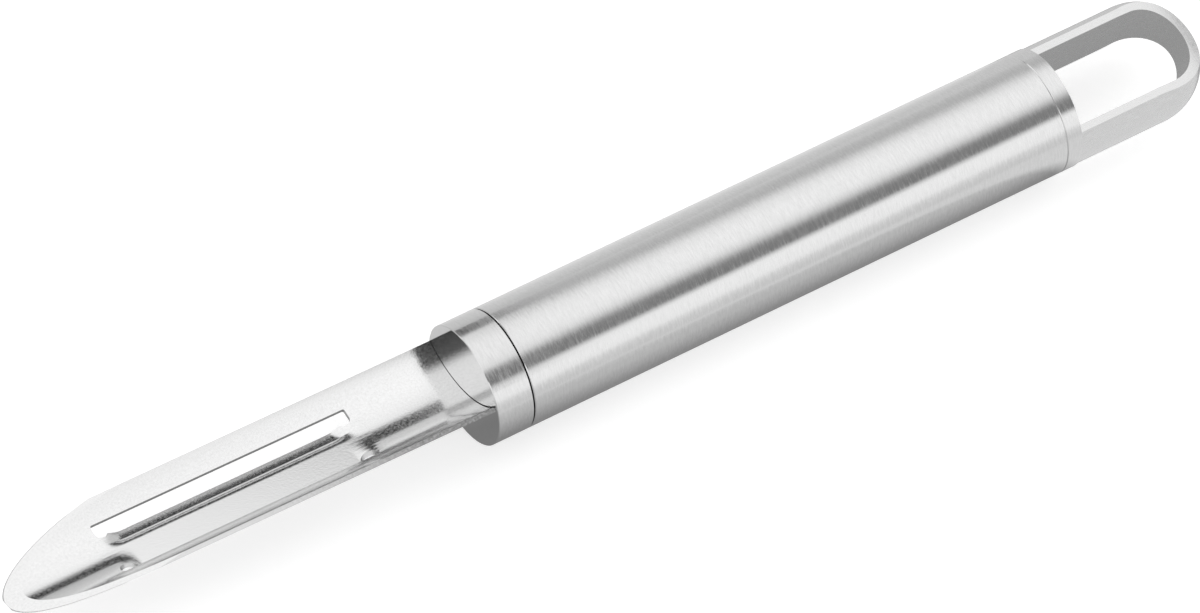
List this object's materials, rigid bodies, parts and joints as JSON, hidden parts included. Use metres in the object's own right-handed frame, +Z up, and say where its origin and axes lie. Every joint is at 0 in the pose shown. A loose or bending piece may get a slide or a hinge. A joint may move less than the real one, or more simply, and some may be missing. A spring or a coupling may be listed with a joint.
{
  "type": "vegetable peeler",
  "caption": "Straight steel peeler: a slotted trough blade in a swivelling collar, on a round tubular handle that ends in a hanging loop.",
  "frame": {"origin": "on the ground under the middle of the peeler's length, below the handle's axis", "axes": "+X along the handle from the blade's tip to the hanging loop, +Z up, square to the loop's plane"},
  "size_m": [0.204, 0.019, 0.019],
  "materials": {
    "blade_steel": "satin, with a bright ground tip and edge",
    "collar_steel": "polished face, brushed round the outside",
    "handle_steel": "fine brushing round the handle",
    "loop_steel": "satin, brushed along the strip",
    "inner_steel": "turned",
    "bearing_plastic": "moulded, natural colour"
  },
  "bodies": {
    "handle": {"handle_tube": "handle_steel", "end_cap": "handle_steel", "hanging_loop": "loop_steel", "bearing_housing": "inner_steel", "front_bush": "bearing_plastic", "rear_bush": "bearing_plastic"},
    "head": {"blade": "blade_steel", "blade_collar": "collar_steel", "spindle": "inner_steel", "stop_pin": "inner_steel", "front_thrust_washer": "bearing_plastic", "rear_thrust_washer": "bearing_plastic", "retaining_clip": "inner_steel"}
  },
  "joints": [
    {"name": "blade_swivel", "type": "hinge", "parent": "handle", "child": "head", "pos_m": [-0.0195, 0, 0.0095], "axis": [1, 0, 0], "range_deg": [-6.5, 63.5]}
  ]
}
